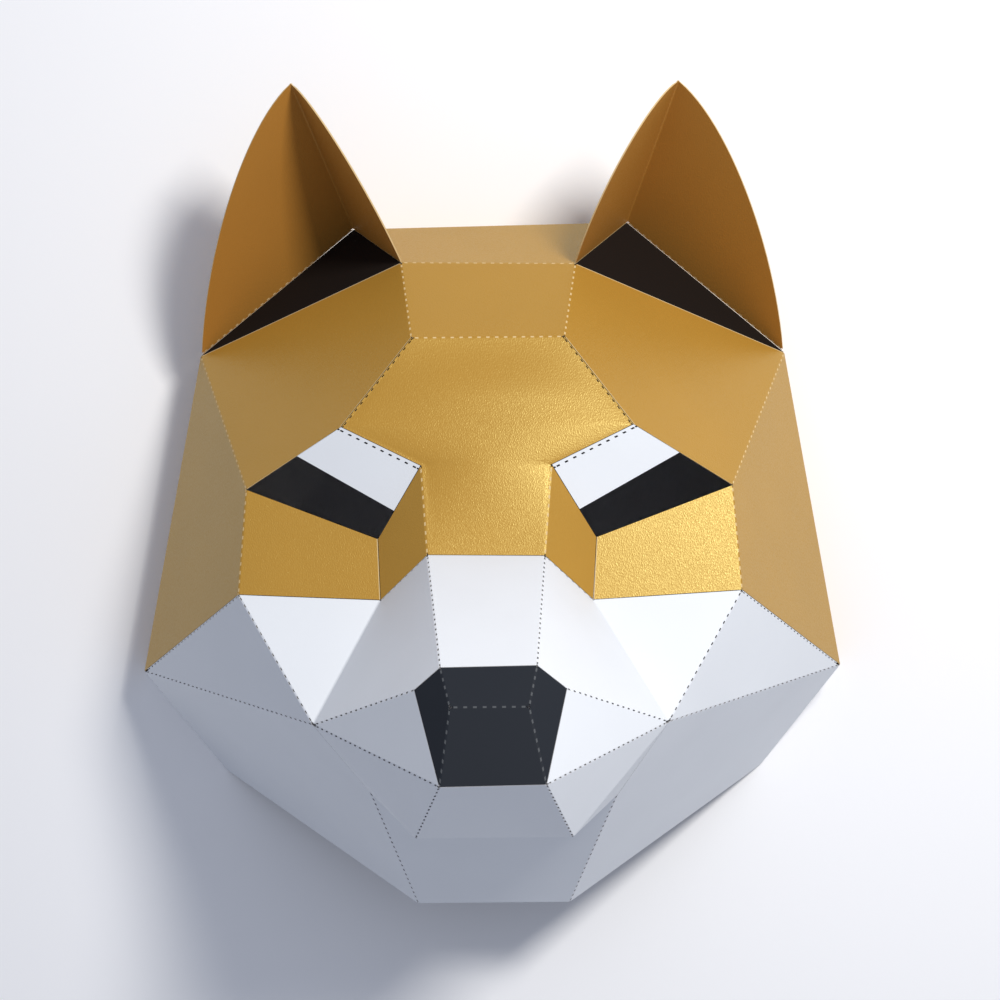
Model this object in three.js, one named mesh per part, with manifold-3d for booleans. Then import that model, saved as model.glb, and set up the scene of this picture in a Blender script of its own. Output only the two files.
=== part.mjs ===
// A full-face animal mask folded from card: gold head, white muzzle and jaw, black nose, two hollow ears.
// It lies on its back rim, face up: +Z comes out of the face, +Y points to the ears, +X is the viewer's right.
// Every panel between two folds is flat, so most corner depths are worked out from the planes they lie on.
import * as THREE from 'three';
import { mergeVertices } from 'three/addons/utils/BufferGeometryUtils.js';
import Module from 'manifold-3d';

const wasm = await Module();
wasm.setup();

// Driving sizes, in millimetres
const JAW_WIDTH = 256; // across the two jaw corners, the widest place
const CROWN_RISE = 84; // eye line up to the crown fold
const CHIN_DROP = 144; // eye line down to the lower edge of the chin
const EAR_RISE = 61.5; // crown fold up to the ear tips
const HEAD_DEPTH = 107; // back rim to the top of the bridge
const BROW_LEAN = 19.3; // how much further back the brow fold lies than the top of the bridge
const MUZZLE_REACH = 68.6; // top of the bridge forward to the fold across the nose
const CARD = 1; // thickness of the card with its glued flaps
const SEAM = 0.3; // clearance between two panels at a fold or a glued seam
const EAR_OUTER_BULGE = 9; // how far the ear's outer edge bows past a straight line
const EAR_INNER_BULGE = 13.5; // the same for its inner edge
const EAR_EDGE_STEPS = 12; // straight steps along each bowed edge
const CORNER_HOLE = 1.6; // radius of the small hole left where the folds run together at a corner

// Where the eyelid's free edge leaves the eye's upper and inner edges, as shares of those edges
const LID_OUTER_SHARE = 0.466;
const LID_INNER_SHARE = 0.62;

// Finishes: card coated with a gold pearl lustre, uncoated white card, and black card
const FINISH = {
  gold: { color: 0xc79a4b, roughness: 0.42, metalness: 0.55 },
  white: { color: 0xf1f0ee, roughness: 0.62, metalness: 0 },
  black: { color: 0x1d1f25, roughness: 0.55, metalness: 0 },
};

// Corners of the right half. Across is a share of half the jaw width. Up is a share of the crown rise above the
// eye line, or of the chin drop below it. Depth is a share of the head depth, in front of the back rim.
// A corner with no depth lies in a panel whose plane is set by other corners.
const CORNERS = {
  ear_outer: { across: 0.836, up: 0.638 },
  ear_inner: { across: 0.24, up: 1, depth: 0.551 },
  ear_back: { across: 0.391, up: 1.196, depth: 0.239 },
  brow_top: { across: 0.205, up: 0.665 },
  brow_out: { across: 0.3875, up: 0.302 },
  eye_in: { across: 0.173, up: 0.142 },
  eye_out: { across: 0.6515, up: 0.054 },
  eye_low: { across: 0.29, up: -0.089 },
  bridge: { across: 0.153, up: -0.1285 },
  under_out: { across: 0.669, up: -0.217 },
  jaw_corner: { across: 1, up: -0.428, depth: 0.203 },
  jaw_back: { across: 0.785, up: -0.697, depth: 0 },
  hub: { across: 0.46, up: -0.512 },
  nose_side: { across: 0.185, up: -0.41 },
  nose_top: { across: 0.12, up: -0.357 },
  nose_front: { across: 0.096, up: -0.442 },
  nose_low: { across: 0.129, up: -0.609 },
  lip: { across: 0.198, up: -0.7535 },
  chin_top: { across: 0.324, up: -0.686 },
  chin_low: { across: 0.212, up: -1 },
};
const EAR_TIP = { across: 0.526, depth: 0.72 };
const UNDER_IN_ACROSS = 0.2835; // the corner where the under-eye seam meets the muzzle
const NOSE_TOP_REACH = 0.898; // shares of the muzzle reach
const LIP_REACH = 0.5;

const SIDES = { right: 1, left: -1 };
const corner = {};

for (const [name, row] of Object.entries(CORNERS)) {
  const height = row.up > 0 ? CROWN_RISE : CHIN_DROP;
  const depth = (row.depth ?? 0) * HEAD_DEPTH;
  corner[name] = new THREE.Vector3(row.across * JAW_WIDTH / 2, row.up * height, depth);
}

function planeOf(...names) {
  return new THREE.Plane().setFromCoplanarPoints(...names.map((name) => corner[name]));
}

// Moves a corner along Z into the plane through three others.
function layInPlane(name, ...others) {
  const plane = planeOf(...others);
  const point = corner[name];
  point.z = -(plane.constant + plane.normal.x * point.x + plane.normal.y * point.y) / plane.normal.z;
}

// The forehead leans back evenly from the bridge to the brow fold.
const foreheadLean = BROW_LEAN / (corner.brow_top.y - corner.bridge.y);
for (const name of ['brow_top', 'brow_out', 'eye_in', 'bridge']) {
  corner[name].z = HEAD_DEPTH - foreheadLean * (corner[name].y - corner.bridge.y);
}
layInPlane('ear_outer', 'ear_inner', 'brow_top', 'brow_out');
layInPlane('eye_out', 'ear_inner', 'brow_top', 'brow_out');
layInPlane('eye_low', 'brow_out', 'eye_in', 'eye_out');
layInPlane('under_out', 'ear_outer', 'eye_out', 'jaw_corner');

// The under-eye seam runs down the line where the two under-eye panels cross.
const outerUnderEye = planeOf('eye_out', 'eye_low', 'under_out');
const innerUnderEye = planeOf('eye_in', 'bridge', 'eye_low');
const seamWay = new THREE.Vector3().crossVectors(outerUnderEye.normal, innerUnderEye.normal);
const seamRun = (UNDER_IN_ACROSS * JAW_WIDTH / 2 - corner.eye_low.x) / seamWay.x;
corner.under_in = corner.eye_low.clone().addScaledVector(seamWay, seamRun);

corner.nose_top.z = HEAD_DEPTH + NOSE_TOP_REACH * MUZZLE_REACH;
corner.nose_front.z = HEAD_DEPTH + MUZZLE_REACH;
corner.lip.z = HEAD_DEPTH + LIP_REACH * MUZZLE_REACH;
layInPlane('hub', 'bridge', 'under_in', 'nose_top');
layInPlane('nose_side', 'bridge', 'under_in', 'nose_top');
layInPlane('nose_low', 'nose_top', 'nose_side', 'nose_front');
layInPlane('chin_top', 'jaw_corner', 'hub', 'jaw_back');
layInPlane('chin_low', 'jaw_corner', 'hub', 'jaw_back');

const earTipUp = CROWN_RISE + EAR_RISE;
corner.ear_tip = new THREE.Vector3(EAR_TIP.across * JAW_WIDTH / 2, earTipUp, EAR_TIP.depth * HEAD_DEPTH);
corner.lid_outer = corner.brow_out.clone().lerp(corner.eye_out, LID_OUTER_SHARE);
corner.lid_inner = corner.eye_in.clone().lerp(corner.eye_low, LID_INNER_SHARE);

// Foot of each silhouette corner on the back rim, straight behind it
for (const name of ['ear_back', 'ear_outer', 'jaw_corner']) {
  const foot = corner[name].clone();
  foot.z = 0;
  corner[`${name}_foot`] = foot;
}

// Panels of one half, corners in turn anticlockwise as seen from outside. A panel that stands on a fold shared by
// two others names the one that it leans against.
const HALF_PANELS = {
  temple: { finish: 'gold', corners: ['ear_outer', 'ear_inner', 'brow_top', 'brow_out', 'eye_out'] },
  side: { finish: 'gold', corners: ['ear_outer', 'eye_out', 'under_out', 'jaw_corner'] },
  under_eye_outer: { finish: 'gold', corners: ['eye_out', 'eye_low', 'under_in', 'under_out'] },
  under_eye_inner: { finish: 'gold', corners: ['eye_in', 'bridge', 'under_in', 'eye_low'] },
  eye: { finish: null, corners: ['brow_out', 'eye_in', 'eye_low', 'eye_out'] },
  snout_side: { finish: 'white', corners: ['bridge', 'nose_top', 'nose_side', 'hub', 'under_in'] },
  cheek_front: { finish: 'white', corners: ['under_in', 'hub', 'under_out'] },
  cheek_side: { finish: 'white', corners: ['under_out', 'hub', 'jaw_corner'] },
  jaw: { finish: 'white', corners: ['jaw_corner', 'hub', 'chin_top', 'chin_low', 'jaw_back'] },
  muzzle_side: { finish: 'white', corners: ['nose_side', 'nose_low', 'hub'] },
  lip_side: { finish: 'white', corners: ['hub', 'nose_low', 'lip'] },
  muzzle_underside: { finish: 'white', corners: ['hub', 'lip', 'chin_top'] },
  nose_side: { finish: 'black', corners: ['nose_top', 'nose_front', 'nose_low', 'nose_side'] },
  ear_floor: { finish: 'black', corners: ['ear_outer', 'ear_back', 'ear_inner'] },
  back_side: { finish: 'gold', corners: ['ear_outer', 'jaw_corner', 'jaw_corner_foot', 'ear_outer_foot'] },
  back_ear: { finish: 'gold', corners: ['ear_back', 'ear_outer', 'ear_outer_foot', 'ear_back_foot'] },
  back_jaw: { finish: 'white', corners: ['jaw_corner', 'jaw_back', 'jaw_corner_foot'] },
  ear_outer_panel: { finish: 'gold', corners: ['ear_tip', 'ear_back', 'ear_outer'], against: 'back_ear' },
  ear_inner_panel: { finish: 'gold', corners: ['ear_tip', 'ear_inner', 'ear_back'], against: 'crown' },
};

// Panels across the middle, by the corners of their right edge from top to bottom
const MIDDLE_PANELS = {
  crown: { finish: 'gold', edge: ['ear_back', 'ear_inner'] },
  brow_band: { finish: 'gold', edge: ['ear_inner', 'brow_top'] },
  forehead: { finish: 'gold', edge: ['brow_top', 'brow_out', 'eye_in', 'bridge'] },
  snout_bridge: { finish: 'white', edge: ['bridge', 'nose_top'] },
  nose_top_panel: { finish: 'black', edge: ['nose_top', 'nose_front'] },
  nose_front_panel: { finish: 'black', edge: ['nose_front', 'nose_low'] },
  lip_front: { finish: 'white', edge: ['nose_low', 'lip'] },
  muzzle_underside: { finish: 'white', edge: ['lip', 'chin_top'] },
  chin: { finish: 'white', edge: ['chin_top', 'chin_low'] },
  back_top: { finish: 'gold', edge: ['ear_back_foot', 'ear_back'] },
};

// Bowed free edges of the ears, from the tip: how far they bow, and where the curve's two handles stand as shares
// of the straight line. A cubic curve reaches three quarters of its handles' height.
const BOWED_EDGES = {
  ear_outer_panel: { end: 'ear_outer', bulge: EAR_OUTER_BULGE, handles: [0.16, 0.6] },
  ear_inner_panel: { end: 'ear_inner', bulge: EAR_INNER_BULGE, handles: [0.12, 0.62] },
};
const HANDLE_RISE = 4 / 3;

function onSide(name, side) {
  const point = corner[name].clone();
  point.x *= SIDES[side];
  return { key: `${name} ${side}`, point };
}

// Every panel as a ring of corners, anticlockwise from outside
const panels = [];
for (const [name, row] of Object.entries(MIDDLE_PANELS)) {
  const left = row.edge.map((key) => onSide(key, 'left'));
  const right = row.edge.map((key) => onSide(key, 'right')).reverse();
  panels.push({ name, finish: row.finish, ring: [...left, ...right] });
}
for (const side of Object.keys(SIDES)) {
  for (const [name, row] of Object.entries(HALF_PANELS)) {
    const ring = row.corners.map((key) => onSide(key, side));
    if (side === 'left') ring.reverse();
    const against = row.against === 'crown' ? 'crown' : row.against && `${row.against}_${side}`;
    panels.push({ name: `${name}_${side}`, kind: name, side, finish: row.finish, against, ring });
  }
}

// The eyelid is the upper strip of the eye, so it takes its folds from the eye's own edges.
function eyelid(side) {
  const ring = ['brow_out', 'eye_in', 'lid_inner', 'lid_outer'].map((key) => onSide(key, side));
  if (side === 'left') ring.reverse();
  return { name: `eyelid_${side}`, kind: 'eyelid', side, finish: 'white', ring };
}
const lids = Object.keys(SIDES).map(eyelid);

const edgeKey = (a, b) => [a.key, b.key].sort().join(' to ');
const byEdge = new Map();
for (const panel of panels) {
  panel.plane = new THREE.Plane().setFromCoplanarPoints(...panel.ring.slice(0, 3).map((c) => c.point));
  panel.ring.forEach((start, i) => {
    const key = edgeKey(start, panel.ring[(i + 1) % panel.ring.length]);
    byEdge.set(key, [...(byEdge.get(key) ?? []), panel]);
  });
}

// The panel on the other side of a fold: ears meet each other or what they lean against, the rest meet the rest.
function neighbour(panel, start, end) {
  const others = (byEdge.get(edgeKey(start, end)) ?? []).filter((other) => other !== panel);
  if (!panel.against) return others.find((other) => !other.against);
  return others.find((other) => other.against) ?? others.find((other) => other.name === panel.against);
}

// In the panel's plane, at right angles to an edge, pointing into the panel, whichever way the edge is named
function inward(panel, start, end) {
  const at = panel.ring.findIndex((c) => c.key === start.key);
  const follows = panel.ring[(at + 1) % panel.ring.length].key === end.key;
  const along = new THREE.Vector3().subVectors(end.point, start.point).normalize();
  return new THREE.Vector3().crossVectors(panel.plane.normal, along).multiplyScalar(follows ? 1 : -1);
}

// A fold is cut along the plane that halves its angle, set back by half the seam. A free edge is cut square.
function cutPlane(panel, start, end, other) {
  const way = inward(panel, start, end);
  const normal = way.clone();
  if (other) normal.sub(inward(other, start, end)).normalize();
  const anchor = start.point.clone().addScaledVector(normal, other ? SEAM / 2 : 0);
  return new THREE.Plane().setFromNormalAndCoplanarPoint(normal, anchor);
}

function meet(a, b, c) {
  const rows = new THREE.Matrix3().set(
    a.normal.x, a.normal.y, a.normal.z,
    b.normal.x, b.normal.y, b.normal.z,
    c.normal.x, c.normal.y, c.normal.z,
  );
  return new THREE.Vector3(-a.constant, -b.constant, -c.constant).applyMatrix3(rows.invert());
}

// Adds the steps of a bowed edge between its two corners. The bow lies in the panel's plane, away from the panel.
function bowed(panel, ring) {
  const row = BOWED_EDGES[panel.kind];
  if (!row) return ring;
  const out = [];
  ring.forEach((start, i) => {
    const end = ring[(i + 1) % ring.length];
    out.push(start);
    const names = [start.key.split(' ')[0], end.key.split(' ')[0]];
    if (!names.includes('ear_tip') || !names.includes(row.end)) return;
    const fromTip = names[0] === 'ear_tip';
    const outward = inward(panel, start, end).multiplyScalar(-row.bulge * HANDLE_RISE);
    const shares = fromTip ? row.handles : row.handles.map((share) => 1 - share).reverse();
    const handles = shares.map((share) => start.point.clone().lerp(end.point, share).add(outward));
    const curve = new THREE.CubicBezierCurve3(start.point, ...handles, end.point);
    for (let step = 1; step < EAR_EDGE_STEPS; step += 1) {
      out.push({ key: `${start.key} step ${step}`, point: curve.getPoint(step / EAR_EDGE_STEPS) });
    }
  });
  return out;
}

// Where a lid's edge lies along one of the eye's edges, its neighbour is the panel beyond that edge.
function lidNeighbour(lid, start, end) {
  const on = (name) => start.key.startsWith(name) || end.key.startsWith(name);
  if (on('lid_inner') && on('lid_outer')) return undefined;
  if (on('lid_inner')) return panels.find((p) => p.name === `under_eye_inner_${lid.side}`);
  if (on('lid_outer')) return panels.find((p) => p.name === `temple_${lid.side}`);
  return panels.find((p) => p.name === 'forehead');
}

// One flat panel of card: its face in the panel's plane, its back a card's thickness behind, its edges as cut.
function panelGeometry(panel, findOther) {
  const ring = bowed(panel, panel.ring);
  const cuts = ring.map((start, i) => {
    const end = ring[(i + 1) % ring.length];
    return cutPlane(panel, start, end, findOther(panel, start, end));
  });
  const back = new THREE.Plane(panel.plane.normal.clone(), panel.plane.constant + CARD);
  const layers = [panel.plane, back].map((layer) => ring.map((_, i) => {
    return meet(layer, cuts[(i + cuts.length - 1) % cuts.length], cuts[i]);
  }));

  const across = new THREE.Vector3().subVectors(ring[1].point, ring[0].point).normalize();
  const upward = new THREE.Vector3().crossVectors(panel.plane.normal, across);
  const flat = layers[0].map((p) => new THREE.Vector2(p.dot(across), p.dot(upward)));
  const cover = THREE.ShapeUtils.triangulateShape(flat, []);

  const count = ring.length;
  const index = [];
  for (const [a, b, c] of cover) {
    index.push(a, b, c, count + a, count + c, count + b);
  }
  for (let i = 0; i < count; i += 1) {
    const next = (i + 1) % count;
    index.push(i, count + i, count + next, i, count + next, next);
  }
  const geometry = new THREE.BufferGeometry();
  geometry.setAttribute('position', new THREE.Float32BufferAttribute(layers.flat().flatMap((p) => p.toArray()), 3));
  geometry.setIndex(index);
  return geometry;
}

// Where four or more panels meet, their folds run out into a small hole that keeps the card from crowding. It is
// a ball set a card's thickness behind the corner, so it opens wider at the back than at the face.
const cornerHoles = new Map();
for (const panel of panels) {
  for (const { key, point } of panel.ring) {
    const hole = cornerHoles.get(key) ?? { point, way: new THREE.Vector3(), panels: 0 };
    if (!panel.against) hole.way.add(panel.plane.normal);
    hole.panels += 1;
    cornerHoles.set(key, hole);
  }
}
const HOLE_PANELS = 4;

function toSolid(geometry) {
  return new wasm.Manifold(new wasm.Mesh({
    numProp: 3,
    vertProperties: new Float32Array(geometry.attributes.position.array),
    triVerts: new Uint32Array(geometry.index.array),
  }));
}

function fromSolid(solid) {
  const mesh = solid.getMesh();
  const geometry = new THREE.BufferGeometry();
  geometry.setAttribute('position', new THREE.Float32BufferAttribute(mesh.vertProperties, mesh.numProp));
  geometry.setIndex([...mesh.triVerts]);
  return geometry;
}

function ball({ point, way }) {
  const geometry = new THREE.IcosahedronGeometry(CORNER_HOLE, 0);
  geometry.deleteAttribute('normal');
  geometry.deleteAttribute('uv');
  const merged = mergeVertices(geometry);
  merged.translate(...point.clone().addScaledVector(way.clone().normalize(), -CARD).toArray());
  return toSolid(merged);
}

function pierced(panel, geometry) {
  let solid = toSolid(geometry);
  for (const { key } of panel.ring) {
    const hole = cornerHoles.get(key);
    if (hole && hole.panels >= HOLE_PANELS) solid = solid.subtract(ball(hole));
  }
  return fromSolid(solid);
}

const mask = new THREE.Group();
// The origin stands under the middle of the mask's outline, on the rim's plane.
mask.position.y = (CHIN_DROP - earTipUp) / 2;

function addPanel(panel, findOther) {
  const geometry = pierced(panel, panelGeometry(panel, findOther));
  const mesh = new THREE.Mesh(geometry, new THREE.MeshStandardMaterial(FINISH[panel.finish]));
  mesh.name = panel.name;
  mask.add(mesh);
}

for (const panel of panels.filter((p) => p.finish)) {
  addPanel(panel, neighbour);
}
for (const lid of lids) {
  lid.plane = panels.find((p) => p.name === `eye_${lid.side}`).plane;
  addPanel(lid, lidNeighbour);
}

export default mask;
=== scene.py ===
import bpy
import numpy as np
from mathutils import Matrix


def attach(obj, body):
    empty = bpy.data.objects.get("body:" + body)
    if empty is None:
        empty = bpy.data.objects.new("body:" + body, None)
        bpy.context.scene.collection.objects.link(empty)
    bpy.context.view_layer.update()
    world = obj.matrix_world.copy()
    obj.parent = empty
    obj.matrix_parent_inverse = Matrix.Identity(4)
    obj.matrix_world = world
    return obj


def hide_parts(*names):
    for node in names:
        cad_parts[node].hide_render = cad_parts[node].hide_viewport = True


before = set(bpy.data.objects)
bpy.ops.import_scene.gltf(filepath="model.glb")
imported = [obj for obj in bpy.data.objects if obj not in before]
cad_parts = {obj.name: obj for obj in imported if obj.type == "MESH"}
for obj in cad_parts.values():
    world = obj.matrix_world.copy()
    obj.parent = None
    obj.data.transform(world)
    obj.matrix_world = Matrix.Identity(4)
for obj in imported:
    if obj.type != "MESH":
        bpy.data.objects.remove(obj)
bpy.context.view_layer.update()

# The view: the mask lies on its back rim on a pale floor and is seen from straight above its face, a hair to the
# right and turned half a degree, under one soft lamp from the upper right and an even cool fill.
CAMERA_PLACE = (0.0059, -0.0009, 0.965)
CAMERA_TURN = (0.0002, 0.0026, -0.0096)
SENSOR = 36.0
FRAME_WIDTHS_AWAY = 2.5645  # focal length in frame widths
NEAREST_SEEN = 0.01
HEAD_MIDDLE = np.array([0, 0, 0.09])
KEY_AROUND = np.radians(44)  # from straight above the crown towards the right
KEY_ABOVE = np.radians(54)  # up from the floor
KEY_AWAY = 0.9
KEY_SIZE = 0.2
KEY_WATTS = 7.3
KEY_COLOUR = (1.0, 0.985, 0.96)
SKY_COLOUR = (0.8, 0.87, 1.06, 1)
SKY_STRENGTH = 0.43
FLOOR_REACH = 6.0
FLOOR_COLOUR = (0.96, 0.95, 0.94, 1)
FLOOR_ROUGHNESS = 0.9

camera = bpy.data.objects.new("camera", bpy.data.cameras.new("camera"))
camera.data.sensor_width = SENSOR
camera.data.lens = SENSOR * FRAME_WIDTHS_AWAY
camera.data.clip_start = NEAREST_SEEN
camera.location = CAMERA_PLACE
camera.rotation_euler = CAMERA_TURN
bpy.context.scene.collection.objects.link(camera)
bpy.context.scene.camera = camera
bpy.context.scene.view_settings.view_transform = "Standard"

lamp = bpy.data.lights.new("key", "AREA")
lamp.shape = "SQUARE"
lamp.size = KEY_SIZE
lamp.energy = KEY_WATTS
lamp.color = KEY_COLOUR
lamp_stand = bpy.data.objects.new("key", lamp)
lamp_stand.location = HEAD_MIDDLE + KEY_AWAY * np.array([
    np.cos(KEY_ABOVE) * np.sin(KEY_AROUND), np.cos(KEY_ABOVE) * np.cos(KEY_AROUND), np.sin(KEY_ABOVE)])
lamp_stand.rotation_euler = (KEY_ABOVE - np.pi / 2, 0, -KEY_AROUND)
bpy.context.scene.collection.objects.link(lamp_stand)
sky = bpy.data.worlds.new("sky")
sky.use_nodes = True
sky.node_tree.nodes["Background"].inputs["Color"].default_value = SKY_COLOUR
sky.node_tree.nodes["Background"].inputs["Strength"].default_value = SKY_STRENGTH
bpy.context.scene.world = sky

floor_mesh = bpy.data.meshes.new("floor")
reach = np.array([[-1, -1, 0], [1, -1, 0], [1, 1, 0], [-1, 1, 0]]) * FLOOR_REACH
floor_mesh.from_pydata(reach.tolist(), [], [[0, 1, 2, 3]])
floor = bpy.data.objects.new("floor", floor_mesh)
floor_paint = bpy.data.materials.new("floor_paint")
floor_paint.use_nodes = True
floor_paint.node_tree.nodes["Principled BSDF"].inputs["Base Color"].default_value = FLOOR_COLOUR
floor_paint.node_tree.nodes["Principled BSDF"].inputs["Roughness"].default_value = FLOOR_ROUGHNESS
floor_mesh.materials.append(floor_paint)
bpy.context.scene.collection.objects.link(floor)


# The corners of the card. Every panel of the mask is flat, so each corner is the point where the planes of three
# panels of the frame cross. The right half is worked out, the left half mirrors it, and each corner is then moved
# by the little that this hand-folded mask is off its pattern.
HEART = np.array([0, -0.01, 0.03])  # a point well inside the head, to tell a panel's outer face
UP_FACING = ("ear_outer_panel", "ear_inner_panel")
SAME_WAY = 0.999  # the least cosine between faces of one flat side
ON_FACE = 1e-5  # how near to a face a point of it lies


def face_plane(node):
    """A panel's outer face as (unit normal, distance along it): of the solid's widest flat sides, the one that
    looks away from the heart of the head, or for an ear the one that looks up."""
    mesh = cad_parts[node].data
    count = len(mesh.polygons)
    normals = np.empty(count * 3)
    areas = np.empty(count)
    middles = np.empty(count * 3)
    mesh.polygons.foreach_get("normal", normals)
    mesh.polygons.foreach_get("area", areas)
    mesh.polygons.foreach_get("center", middles)
    normals, middles = normals.reshape(-1, 3), middles.reshape(-1, 3)
    widest = normals[areas.argmax()]
    away = np.array([0, 0, 1]) if node.startswith(UP_FACING) else middles[areas.argmax()] - HEART
    if widest @ away < 0:
        widest = -widest
    flat = normals @ widest > SAME_WAY
    normal = (normals[flat] * areas[flat, None]).sum(0)
    normal /= np.linalg.norm(normal)
    return normal, float(np.average(middles[flat] @ normal, weights=areas[flat]))


def end_of(node, axis, pick):
    """How far a panel's outer face reaches along an axis, as a plane across that axis."""
    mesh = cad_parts[node].data
    points = np.empty(len(mesh.vertices) * 3)
    mesh.vertices.foreach_get("co", points)
    points = points.reshape(-1, 3)
    normal, distance = face_plane(node)
    on_face = points[abs(points @ normal - distance) < ON_FACE]
    return np.eye(3)[axis], float(pick(on_face[:, axis]))


CROSSINGS = {
    "ear_outer": ("temple_right", "side_right", "back_side_right"),
    "ear_inner": ("temple_right", "crown", "brow_band"),
    "ear_back": ("crown", "back_top", "back_ear_right"),
    "brow_top": ("brow_band", "forehead", "temple_right"),
    "brow_out": ("forehead", "temple_right", "eyelid_right"),
    "eye_in": ("forehead", "eyelid_right", "under_eye_inner_right"),
    "eye_out": ("temple_right", "side_right", "under_eye_outer_right"),
    "eye_low": ("eyelid_right", "under_eye_inner_right", "under_eye_outer_right"),
    "bridge": ("forehead", "under_eye_inner_right", "snout_side_right"),
    "under_in": ("under_eye_inner_right", "under_eye_outer_right", "snout_side_right"),
    "under_out": ("side_right", "under_eye_outer_right", "cheek_side_right"),
    "jaw_corner": ("side_right", "cheek_side_right", "jaw_right"),
    "jaw_back": ("jaw_right", "back_jaw_right", "rim"),
    "hub": ("snout_side_right", "cheek_front_right", "cheek_side_right"),
    "nose_side": ("snout_side_right", "muzzle_side_right", "nose_side_right"),
    "nose_top": ("snout_bridge", "snout_side_right", "nose_top_panel"),
    "nose_front": ("nose_top_panel", "nose_front_panel", "nose_side_right"),
    "nose_low": ("nose_front_panel", "nose_side_right", "muzzle_side_right"),
    "lip": ("lip_front", "lip_side_right", "muzzle_underside"),
    "chin_top": ("jaw_right", "chin", "muzzle_underside"),
    "chin_low": ("jaw_right", "chin", "chin_end"),
    "ear_tip": ("ear_outer_panel_right", "ear_inner_panel_right", "ear_end"),
    "ear_back_foot": ("back_top", "back_ear_right", "rim"),
    "ear_outer_foot": ("back_ear_right", "back_side_right", "rim"),
    "jaw_corner_foot": ("back_side_right", "back_jaw_right", "rim"),
}
HAND_FOLDED = {  # how far this mask's left and right folds lie off the pattern, in millimetres rightwards and up
    "ear_tip": ((-0.4, 0.1), (-0.4, -0.2)), "ear_outer": ((1.0, 0.3), (1.4, -0.4)),
    "ear_inner": ((0.1, 0.3), (0.3, -0.6)), "ear_back": ((1.0, -0.7), (0.7, 0.9)),
    "brow_out": ((-0.5, 0), (-0.4, 0)), "eye_in": ((-0.9, 0), (-0.9, 0)), "eye_low": ((-0.9, 0), (-0.8, 0)),
    "bridge": ((-1.3, 0.4), (-1.0, -0.2)), "under_in": ((-0.8, 0), (-1.4, -0.5)),
    "nose_side": ((0.1, 0), (0.5, 0)), "nose_top": ((0, -0.4), (-0.4, 0)), "nose_low": ((0.9, 0), (0.8, 0.5)),
    "lip": ((0.9, 0), (0.9, 0)), "chin_top": ((0.6, 0.8), (0.6, -0.8)),
}
AS_DRAWN = ((0, 0), (0, 0))
MILLIMETRE = 0.001

planes = {node: face_plane(node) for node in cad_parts}
planes["rim"] = (np.array([0, 0, 1.0]), 0.0)
planes["chin_end"] = end_of("chin", 1, np.min)
planes["ear_end"] = end_of("ear_outer_panel_right", 1, np.max)
corner = {}
for name, nodes in CROSSINGS.items():
    rows = np.array([planes[node][0] for node in nodes])
    point = np.linalg.solve(rows, [planes[node][1] for node in nodes])
    left_shift, right_shift = HAND_FOLDED.get(name, AS_DRAWN)
    corner[f"{name} left"] = point * [-1, 1, 1] + np.array([*left_shift, 0]) * MILLIMETRE
    corner[f"{name} right"] = point + np.array([*right_shift, 0]) * MILLIMETRE


# Card. All of it is one weight of stiff card. Each sheet is folded along lines of slits of one even pitch, and a
# fold is rounded over a millimetre. Where folds run together at a corner, the card is left with a pin hole.
CARD = 0.0005
FOLD_HALF = 0.0006  # how far a fold's rounding reaches into each panel
LANES = (0.25, 0.75)  # where the middle lane of a fold, which holds the slits, begins and ends
PITCH = 0.0031
SLIT = 0.0012
PIN = 0.0006  # how far a corner's pin hole reaches along each fold
SEAM_HALF = 0.00012
STRIP_WIDTH = {None: 0, "slots": 0.0008, "cracks": 0.0008, "lip": 0.0003}
BOW_STEPS = 24
BULGE_RINGS = 24
BULGE_MIDDLE = 0.06  # the innermost ring of a bulge, as a share of the panel
WELD_REACH = 2e-6
PANEL, CORE, BACK, HOLE = 0, 1, 2, -1  # the order of materials on a sheet, and no card at all


def across(*names):
    """The ring of a panel across the middle, from the corners of its right edge named from top to bottom."""
    return [f"{name} left" for name in names] + [f"{name} right" for name in reversed(names)]


def one_side(side, panels):
    """Panels named for the right half, as rings of one side. On the left the corners run the other way round."""
    turn = 1 if side == "right" else -1
    return {name: [f"{key} {side}" for key in keys][::turn] for name, keys in panels.items()}


def both_halves(panels):
    """Panels named for the right half, with their mirror images. A ring that names its sides is left as it is."""
    rings = {}
    for name, keys in panels.items():
        if " " in keys[0]:
            rings[name] = list(keys)
            continue
        for side in ("right", "left"):
            rings[f"{name}_{side}"] = one_side(side, {name: keys})[name]
    return rings


def halves(*names):
    """The left and right node of each named piece."""
    return [f"{name}_{side}" for name in names for side in ("left", "right")]


def ends_of(a, b):
    """An edge, as the sorted names of its two corners."""
    return tuple(sorted((a, b)))


def both_sides(edges):
    """Edges named without a side, as every edge that the names may mean on the left, the right or across."""
    return {ends_of(f"{a} {s}", f"{b} {t}") for a, b in edges
            for s in ("left", "right") for t in ("left", "right")}


def inset_corners(points, normal, setbacks):
    """Each corner moved into its panel, to where the two edges beside it meet once each edge is set back."""
    ways = np.roll(points, -1, axis=0) - points
    ways /= np.linalg.norm(ways, axis=1)[:, None]
    inward = np.cross(normal, ways)
    depth = (inward * points).sum(1) + setbacks
    rows = np.stack([np.roll(inward, 1, axis=0), inward, np.broadcast_to(normal, inward.shape)], axis=1)
    sums = np.stack([np.roll(depth, 1), depth, points @ normal], axis=1)
    return np.linalg.solve(rows, sums[..., None])[..., 0]


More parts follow.
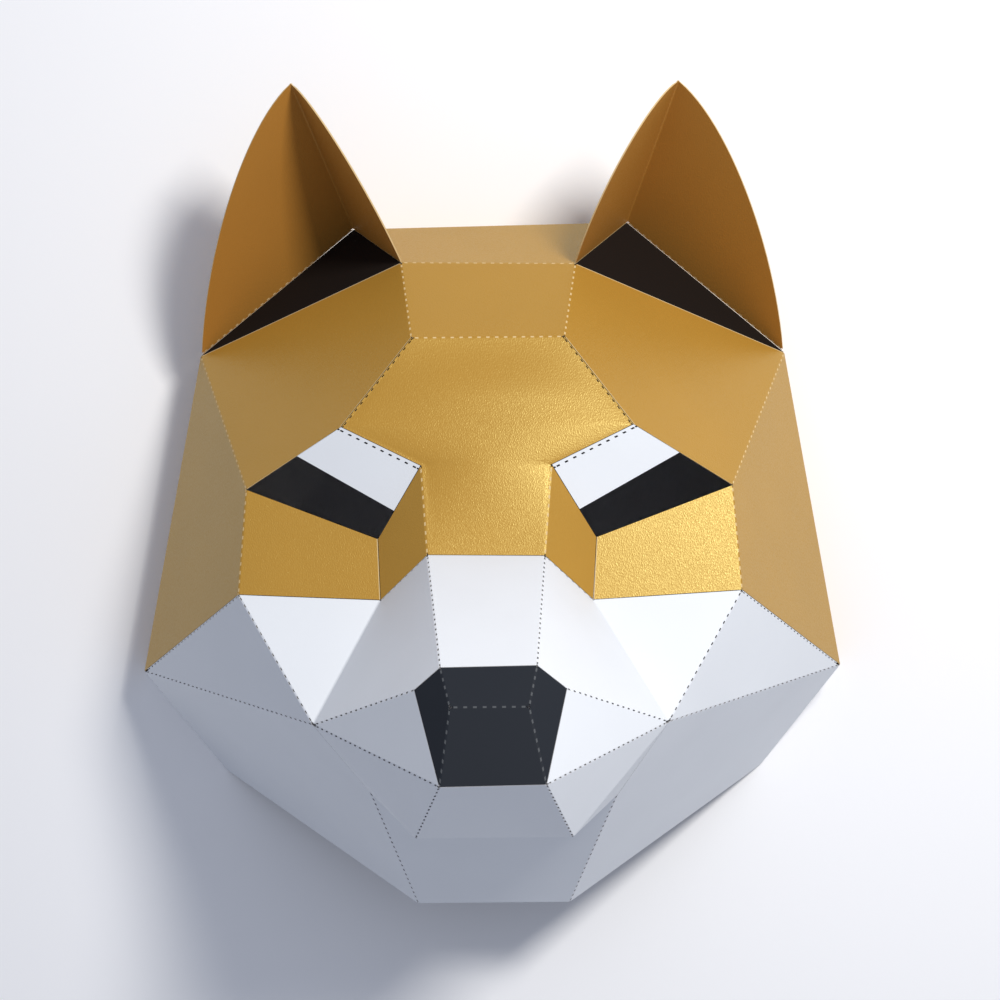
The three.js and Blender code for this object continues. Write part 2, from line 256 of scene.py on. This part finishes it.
def stations(length):
    """Shares along a fold: its two ends, the edges of their pin holes, and the two ends of each slit. The slits
    stand in the middle of equal cells, one pitch or nearly so each."""
    count = max(int(round(length / PITCH)), 1)
    middles = (np.arange(count) + 0.5) / count
    half = SLIT / 2 / length
    slits = np.stack([middles - half, middles + half], axis=1).ravel()
    return np.concatenate([[0, PIN / length], slits, [1 - PIN / length, 1]])


def bow(start, end, rise, handles):
    """A cubic curve whose two handles stand at the given shares of the straight line from start to end, each
    raised by rise: the sum of the four points times the cubic weights, without the last point."""
    t = np.linspace(0, 1, BOW_STEPS + 1)[:-1, None]
    first = start + handles[0] * (end - start) + rise
    second = start + handles[1] * (end - start) + rise
    return (1 - t) ** 3 * start + 3 * (1 - t) ** 2 * t * first + 3 * (1 - t) * t ** 2 * second + t ** 3 * end


def card_sheet(name, panels, materials, fold="slots", plain=(), cut=(), strips=None, bows=None, bulges=None,
               nodes=()):
    """One sheet of card folded into its panels. Every edge that two of its panels share is a fold, unless cut
    names it. A fold is a strip between its two panels: across it, points at four shares of the way round a curve
    that has the fold line as its handle, and along it the ends of the slits. Slits are holes, or cracks that show
    the card's core, and a plain fold has none. A cut or free edge may have a strip of its own: slots, cracks, or
    the pale lip of the core. A bow curves a free edge outwards. A bulge lifts a panel's inside by a height worked
    out from each point's place, on rings that shrink towards its middle."""
    strips, bows, bulges = strips or {}, bows or {}, bulges or {}
    rings = both_halves(panels)
    plain, cut = both_sides(plain), both_sides(cut)
    styles = {(panel, edge): style for (panel, *ends), style in strips.items() for edge in both_sides([ends])}
    users = {}
    for panel, keys in rings.items():
        for i, key in enumerate(keys):
            users.setdefault(ends_of(key, keys[(i + 1) % len(keys)]), []).append((panel, i))
    inset = {}
    faces, slots, smooth, chunks = [], [], [], []

    def add(points):
        """Points put at the end of the mesh, as their numbers in it."""
        start = sum(len(chunk) for chunk in chunks)
        chunks.append(points)
        return np.arange(start, start + len(points))

    def add_strip(lines, style):
        """Quads between neighbouring lines of points. Of a strip with slits, the middle lane is a hole beside
        each end and at each slit."""
        rows = np.array([add(line) for line in lines])
        cells = np.stack([rows[:-1, :-1], rows[1:, :-1], rows[1:, 1:], rows[:-1, 1:]], axis=-1)
        kinds = np.full(cells.shape[:2], CORE if style == "lip" else PANEL)
        if style in ("slots", "cracks"):
            kinds[1, ::2] = HOLE
            kinds[1, 2:-2:2] = HOLE if style == "slots" else CORE
        kept = kinds != HOLE
        faces.extend(cells[kept].tolist())
        slots.extend(kinds[kept].tolist())
        smooth.extend([style == "swell"] * int(kept.sum()))

    for panel, keys in rings.items():
        kind = panel.removesuffix("_left").removesuffix("_right")
        points = np.array([corner[key] for key in keys])
        following = np.roll(points, -1, axis=0)
        normal = np.cross(points, following).sum(0)
        normal /= np.linalg.norm(normal)
        edges = [ends_of(key, keys[(i + 1) % len(keys)]) for i, key in enumerate(keys)]
        folds = [len(users[edge]) == 2 and edge not in cut for edge in edges]
        own = [styles.get((kind, edge)) for edge in edges]
        setbacks = [FOLD_HALF if is_fold else SEAM_HALF + STRIP_WIDTH[style]
                    for is_fold, style in zip(folds, own)]
        inset[panel] = inset_corners(points, normal, np.array(setbacks))
        outline = []
        for i, edge in enumerate(edges):
            start, end = inset[panel][i], inset[panel][(i + 1) % len(keys)]
            way = following[i] - points[i]
            length = np.linalg.norm(way)
            outward = -np.cross(normal, way / length)
            curve = next((row for ends, row in bows.items() if edge in both_sides([ends])), None)
            if folds[i] or own[i]:
                outline.append(start + stations(length)[:-1, None] * (end - start))
            elif curve:
                forward = keys[i].startswith(curve["start"])
                handles = curve["handles"] if forward else [1 - share for share in reversed(curve["handles"])]
                rise = outward * curve["bulge"][keys[i].split(" ")[1]] * 4 / 3
                outline.append(bow(start, end, rise, handles))
            elif kind in bulges:
                outline.append(start + np.linspace(0, 1, BULGE_RINGS)[:-1, None] * (end - start))
            else:
                outline.append(start[None])
            if own[i]:
                near = start + stations(length)[:, None] * (end - start)
                width = outward * STRIP_WIDTH[own[i]]
                add_strip([near + share * width for share in (0, *LANES, 1)], own[i])
        ring = np.vstack(outline)
        if kind in bulges:
            middle = ring.mean(0)
            shrink = np.linspace(1, BULGE_MIDDLE, BULGE_RINGS)[:, None, None]
            net = middle + shrink * (ring - middle)
            net = net + (bulges[kind](net)[..., None] * (shrink < 1)) * normal
            closed = np.concatenate([net, net[:, :1]], axis=1)
            add_strip(list(closed[1::-1]), "plain")
            add_strip(list(closed[:0:-1]), "swell")
            ring = net[-1]
        faces.append(add(ring).tolist())
        slots.append(PANEL)
        smooth.append(kind in bulges)

    for edge, ends in users.items():
        if len(ends) != 2 or edge in cut:
            continue
        (panel, i), (other, k) = ends
        keys = rings[panel]
        j = (i + 1) % len(keys)
        first, last = corner[keys[i]], corner[keys[j]]
        shares = stations(np.linalg.norm(last - first))[:, None]
        near = inset[panel][i] + shares * (inset[panel][j] - inset[panel][i])
        far_first, far_last = inset[other][(k + 1) % len(rings[other])], inset[other][k]
        far = far_first + shares * (far_last - far_first)
        ridge = first + shares * (last - first)
        add_strip([(1 - t) ** 2 * near + 2 * (1 - t) * t * ridge + t ** 2 * far for t in (0, *LANES, 1)],
                  "plain" if edge in plain else fold)

    mesh = bpy.data.meshes.new(name)
    mesh.from_pydata(np.vstack(chunks).tolist(), [], faces)
    for material in materials:
        mesh.materials.append(material)
    mesh.polygons.foreach_set("material_index", slots)
    mesh.polygons.foreach_set("use_smooth", smooth)
    sheet = bpy.data.objects.new(name, mesh)
    bpy.context.scene.collection.objects.link(sheet)
    weld = sheet.modifiers.new("weld", "WELD")
    weld.merge_threshold = WELD_REACH
    sheet.modifiers.new("triangles", "TRIANGULATE")
    wall = sheet.modifiers.new("card", "SOLIDIFY")
    wall.thickness = CARD
    wall.offset = -1
    wall.use_even_offset = True
    wall.thickness_clamp = 1
    wall.use_rim = True
    wall.material_offset_rim = CORE
    wall.material_offset = BACK
    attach(sheet, "root")
    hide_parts(*nodes)


# The finish of card: paper with a fine tooth and a slight cloudiness, whose torn core shows at slits and edges.
# Each finish is built from the same few parts: noise on the object's own coordinates, a blend and a relief.
TOOTH_GRAIN, TOOTH_DETAIL = 2600, 3
TOOTH_RELIEF, TOOTH_DEPTH = 0.12, 0.00004
CLOUD_GRAIN, CLOUD_DETAIL = 38, 2
CLOUD_SHADES = (0.965, 1.02)
DUST_GRAIN = 55
DUST_DISC = (0.025, 0.012)  # where a speck of dust begins and where it is full, in cells of its pattern
DUST_COLOUR = (0.2, 0.18, 0.16, 1)
CARD_GLOSS = 0.5


def new_finish(name):
    """A new material, as itself, its nodes, its links, its shader and each point's place on the object."""
    material = bpy.data.materials.new(name)
    material.use_nodes = True
    nodes = material.node_tree.nodes
    place = nodes.new("ShaderNodeTexCoord").outputs["Object"]
    return material, nodes, material.node_tree.links, nodes["Principled BSDF"], place


def noise(nodes, links, place, grain, detail):
    """Noise from 0 to 1 at a place, with so many cells to the metre."""
    texture = nodes.new("ShaderNodeTexNoise")
    texture.inputs["Scale"].default_value = grain
    texture.inputs["Detail"].default_value = detail
    links.new(place, texture.inputs["Vector"])
    return texture.outputs["Fac"]


def clouded(nodes, links, cloud, colour, shades):
    """A colour that the cloud takes from its darker to its lighter shade."""
    blend = nodes.new("ShaderNodeMix")
    blend.data_type = "RGBA"
    blend.inputs["A"].default_value = (*[c * shades[0] for c in colour], 1)
    blend.inputs["B"].default_value = (*[min(c * shades[1], 1) for c in colour], 1)
    links.new(cloud, blend.inputs["Factor"])
    return blend.outputs["Result"]


def raise_relief(nodes, links, height, shader, strength, depth):
    """The shader's normal, tilted as by a relief of that height."""
    relief = nodes.new("ShaderNodeBump")
    relief.inputs["Strength"].default_value = strength
    relief.inputs["Distance"].default_value = depth
    links.new(height, relief.inputs["Height"])
    links.new(relief.outputs["Normal"], shader.inputs["Normal"])


def card_material(name, colour, roughness, gloss=CARD_GLOSS, specks=False):
    """A plain card: a slow cloud of noise mottles its colour by a few parts in a hundred, and a fine paper tooth
    stands out in relief. Specks of dust are the small discs round the points of a sparse Voronoi pattern."""
    material, nodes, links, shader, place = new_finish(name)
    shader.inputs["Roughness"].default_value = roughness
    shader.inputs["Specular IOR Level"].default_value = gloss
    tooth = noise(nodes, links, place, TOOTH_GRAIN, TOOTH_DETAIL)
    raise_relief(nodes, links, tooth, shader, TOOTH_RELIEF, TOOTH_DEPTH)
    cloud = noise(nodes, links, place, CLOUD_GRAIN, CLOUD_DETAIL)
    paint = clouded(nodes, links, cloud, colour, CLOUD_SHADES)
    if specks:
        scatter = nodes.new("ShaderNodeTexVoronoi")
        scatter.inputs["Scale"].default_value = DUST_GRAIN
        disc = nodes.new("ShaderNodeMapRange")
        disc.inputs["From Min"].default_value = DUST_DISC[0]
        disc.inputs["From Max"].default_value = DUST_DISC[1]
        dust = nodes.new("ShaderNodeMix")
        dust.data_type = "RGBA"
        dust.inputs["B"].default_value = DUST_COLOUR
        links.new(place, scatter.inputs["Vector"])
        links.new(scatter.outputs["Distance"], disc.inputs["Value"])
        links.new(disc.outputs["Result"], dust.inputs["Factor"])
        links.new(paint, dust.inputs["A"])
        paint = dust.outputs["Result"]
    links.new(paint, shader.inputs["Base Color"])
    return material


core_card = card_material("core_card", (0.66, 0.47, 0.22), 0.8)


# The gold head: one sheet of card with a pearl lustre, from the fold behind the crown down to the cheeks and back
# to the rim. It closes in glued seams beside the forehead and under each eye. The lustre is a coat of flakes.
BROW_SWELL = 0.0018
SWELL_LOW = 0.045  # how far from each of its folds the forehead takes to rise
SWELL_TOP = 0.022
FLAKE_GRAIN, FLAKE_DETAIL = 3200, 1
FLAKE_STRETCH = (1.0, 0.5, 0.5)
FLAKE_RANGE = (0.3, 0.7)  # of the noise, from the dullest flakes to the sharpest
FLAKE_SHARPNESS = 0.08
FLAKE_RELIEF, FLAKE_DEPTH = 1.0, 0.00008
LUSTRE_METAL = 0.08
LUSTRE_CLOUD_GRAIN, LUSTRE_CLOUD_DETAIL = 30, 2
LUSTRE_SHADES = (0.95, 1.05)


def lustre(name, colour, gloss, gloss_tint, roughness):
    """A gold lustre on card: fine upright flakes from a stretched noise tilt the surface a little and sharpen or
    dull its gloss, so that they glint one by one near a highlight, and a slow noise clouds the colour."""
    material, nodes, links, shader, place = new_finish(name)
    shader.inputs["Metallic"].default_value = LUSTRE_METAL
    shader.inputs["Specular IOR Level"].default_value = gloss
    shader.inputs["Specular Tint"].default_value = (*gloss_tint, 1)
    stretch = nodes.new("ShaderNodeMapping")
    stretch.inputs["Scale"].default_value = FLAKE_STRETCH
    links.new(place, stretch.inputs["Vector"])
    flakes = noise(nodes, links, stretch.outputs["Vector"], FLAKE_GRAIN, FLAKE_DETAIL)
    raise_relief(nodes, links, flakes, shader, FLAKE_RELIEF, FLAKE_DEPTH)
    rough = nodes.new("ShaderNodeMapRange")
    rough.inputs["From Min"].default_value = FLAKE_RANGE[0]
    rough.inputs["From Max"].default_value = FLAKE_RANGE[1]
    rough.inputs["To Min"].default_value = roughness + FLAKE_SHARPNESS
    rough.inputs["To Max"].default_value = roughness - FLAKE_SHARPNESS
    links.new(flakes, rough.inputs["Value"])
    links.new(rough.outputs["Result"], shader.inputs["Roughness"])
    cloud = noise(nodes, links, place, LUSTRE_CLOUD_GRAIN, LUSTRE_CLOUD_DETAIL)
    links.new(clouded(nodes, links, cloud, colour, LUSTRE_SHADES), shader.inputs["Base Color"])
    return material


def brow_height(points):
    """How far the forehead bows out: a parabola across its width, which falls smoothly to nothing at its two
    folds, faster towards the upper one."""
    marks = np.array([corner[f"{name} right"] for name in ("bridge", "eye_in", "brow_out", "brow_top")])
    half_width = np.interp(points[..., 1], marks[:, 1], marks[:, 0])
    low = np.clip((points[..., 1] - marks[0, 1]) / SWELL_LOW, 0, 1)
    top = np.clip((marks[3, 1] - points[..., 1]) / SWELL_TOP, 0, 1)
    ease = low ** 2 * (3 - 2 * low) * top ** 2 * (3 - 2 * top)
    return BROW_SWELL * ease * np.clip(1 - (points[..., 0] / half_width) ** 2, 0, 1)


gold_card = lustre("gold_card", (0.45, 0.228, 0.032), 0.72, (0.82, 1.0, 0.5), 0.38)
# Painted shade: the back of the gold card is a dark brown, for the shade inside the closed head that shows
# through the eye holes.
gold_back_painted_shade = card_material("gold_back_painted_shade", (0.05, 0.028, 0.014), 0.8, gloss=0.2)
card_sheet("gold_head", {
    "crown": across("ear_back", "ear_inner"),
    "brow_band": across("ear_inner", "brow_top"),
    "forehead": across("brow_top", "brow_out", "eye_in", "bridge"),
    "temple": ["ear_outer", "ear_inner", "brow_top", "brow_out", "eye_out"],
    "side": ["ear_outer", "eye_out", "under_out", "jaw_corner"],
    "under_eye_outer": ["eye_out", "eye_low", "under_in", "under_out"],
    "under_eye_inner": ["eye_in", "bridge", "under_in", "eye_low"],
    "back_top": across("ear_back_foot", "ear_back"),
    "back_side": ["ear_outer", "jaw_corner", "jaw_corner_foot", "ear_outer_foot"],
    "back_ear": ["ear_back", "ear_outer", "ear_outer_foot", "ear_back_foot"],
}, [gold_card, core_card, gold_back_painted_shade], fold="cracks", cut=[("brow_top", "brow_out"), ("eye_low", "under_in")],
    strips={("forehead", "brow_top", "brow_out"): "slots", ("temple", "brow_top", "brow_out"): "lip",
            ("under_eye_outer", "eye_low", "under_in"): "lip", ("temple", "ear_outer", "ear_inner"): "lip"},
    bulges={"forehead": brow_height},
    nodes=["crown", "brow_band", "forehead", "back_top",
           *halves("temple", "side", "under_eye_outer", "under_eye_inner", "back_side", "back_ear")])


# The ears: each is a piece of the same gold card folded once down the back, its two front edges cut in a bow, and
# glued by its base to the head. The far edge bows less than the edge beside the crown. The inside of each ear is
# painted a deeper, redder gold than the head, as painted shade for the light thrown between the two halves.
EAR_BOWS = {
    ("ear_tip", "ear_outer"): {"start": "ear_tip", "handles": [0.16, 0.6],
                               "bulge": {"left": 0.0088, "right": 0.0095}},
    ("ear_tip", "ear_inner"): {"start": "ear_tip", "handles": [0.12, 0.62],
                               "bulge": {"left": 0.0112, "right": 0.0165}},
}
# Painted shade: the ears' inner faces get a deeper, redder gold for the light thrown between their two halves.
ear_gold_painted_shade = lustre("ear_gold_painted_shade", (0.43, 0.19, 0.032), 0.5, (1.0, 0.9, 0.5), 0.45)
for side in ("left", "right"):
    card_sheet(f"ear_{side}", one_side(side, {
        "outer": ["ear_tip", "ear_back", "ear_outer"],
        "inner": ["ear_tip", "ear_inner", "ear_back"],
    }), [ear_gold_painted_shade, core_card, gold_card], plain=[("ear_tip", "ear_back")],
        strips={("outer", "ear_outer", "ear_back"): "cracks"}, bows=EAR_BOWS,
        nodes=[f"ear_outer_panel_{side}", f"ear_inner_panel_{side}"])


# The muzzle and jaw: white card, folded along open slits that show as rows of grey dots. The walls of the slits
# and the card's cut edges are painted grey, as painted shade in the deep slits. The creases from the under-eye
# corner to the cheek's hub and round the underside of the muzzle are pressed, not slit. A seam parts that
# underside from the jaw and the chin.
white_card = card_material("white_card", (0.75, 0.768, 0.788), 0.55, gloss=0.4)
# Painted shade: the back of the white card is a dark brown, for the shade inside the closed head.
white_back_painted_shade = card_material("white_back_painted_shade", (0.1, 0.07, 0.045), 0.8)
# Painted shade: the slit walls and cut edges of the white card are grey, for the shade in the deep slits.
white_edge_painted_shade = card_material("white_edge_painted_shade", (0.42, 0.41, 0.41), 0.8)
WHITE = [white_card, white_edge_painted_shade, white_back_painted_shade]
card_sheet("muzzle_and_jaw", {
    "snout_bridge": across("bridge", "nose_top"),
    "snout_side": ["bridge", "nose_top", "nose_side", "hub", "under_in"],
    "cheek_front": ["under_in", "hub", "under_out"],
    "cheek_side": ["under_out", "hub", "jaw_corner"],
    "muzzle_side": ["nose_side", "nose_low", "hub"],
    "lip_side": ["hub", "nose_low", "lip"],
    "lip_front": across("nose_low", "lip"),
    "underside": ["hub", "lip", "chin_top"],
    "underside_middle": across("lip", "chin_top"),
    "jaw": ["jaw_corner", "hub", "chin_top", "chin_low", "jaw_back"],
    "chin": across("chin_top", "chin_low"),
    "back_jaw": ["jaw_corner", "jaw_back", "jaw_corner_foot"],
}, WHITE, plain=[("hub", "under_in"), ("hub", "lip"), ("lip", "lip"), ("lip", "chin_top")],
    cut=[("hub", "chin_top"), ("chin_top", "chin_top")],
    strips={("cheek_side", "under_out", "jaw_corner"): "slots", ("snout_side", "bridge", "under_in"): "slots"},
    nodes=["snout_bridge", "lip_front", "muzzle_underside", "chin",
           *halves("snout_side", "cheek_front", "cheek_side", "muzzle_side", "lip_side", "muzzle_underside",
                   "jaw", "back_jaw")])


# The eyelids: a strip of white card across the top of each eye, with a row of slits where its flap turns under
# the forehead. Its lower edge is free and leaves the eye open.
LID_FLAP = 0.0014  # from the lid's top edge to its row of slits
LID_SHARES = {  # how far down each side edge of the eye the lid's free edge starts
    ("lid_outer", "flap_outer", "brow_out", "eye_out"): 0.466,
    ("lid_inner", "flap_inner", "eye_in", "eye_low"): 0.62,
}
for side in ("left", "right"):
    for (lid, flap, top, bottom), share in LID_SHARES.items():
        first = corner[f"{top} {side}"]
        way = corner[f"{bottom} {side}"] - first
        corner[f"{lid} {side}"] = first + share * way
        corner[f"{flap} {side}"] = first + LID_FLAP * way / np.linalg.norm(way)
    card_sheet(f"eyelid_strip_{side}", one_side(side, {
        "flap": ["brow_out", "eye_in", "flap_inner", "flap_outer"],
        "lid": ["flap_outer", "flap_inner", "lid_inner", "lid_outer"],
    }), WHITE, nodes=[f"eyelid_{side}"])


# The nose: black card folded into a cap of four panels, its folds cracked to a grey core. It closes the open end
# of the muzzle.
black_card = card_material("black_card", (0.018, 0.021, 0.027), 0.6, gloss=0.1)
grey_core = card_material("grey_core", (0.07, 0.075, 0.08), 0.8)
card_sheet("nose_cap", {
    "top": across("nose_top", "nose_front"),
    "front": across("nose_front", "nose_low"),
    "nose_side": ["nose_top", "nose_front", "nose_low", "nose_side"],
}, [black_card, grey_core, black_card], fold="cracks",
    nodes=["nose_top_panel", "nose_front_panel", *halves("nose_side")])


# The ear floors: a triangle of matt black card closes the head at the bottom of each hollow ear. A little dust
# lies on it.
shade_card = card_material("shade_card", (0.012, 0.008, 0.006), 0.9, gloss=0.1, specks=True)
for side in ("left", "right"):
    card_sheet(f"ear_floor_card_{side}", one_side(side, {"floor": ["ear_outer", "ear_back", "ear_inner"]}),
               [shade_card, grey_core, shade_card], nodes=[f"ear_floor_{side}"])
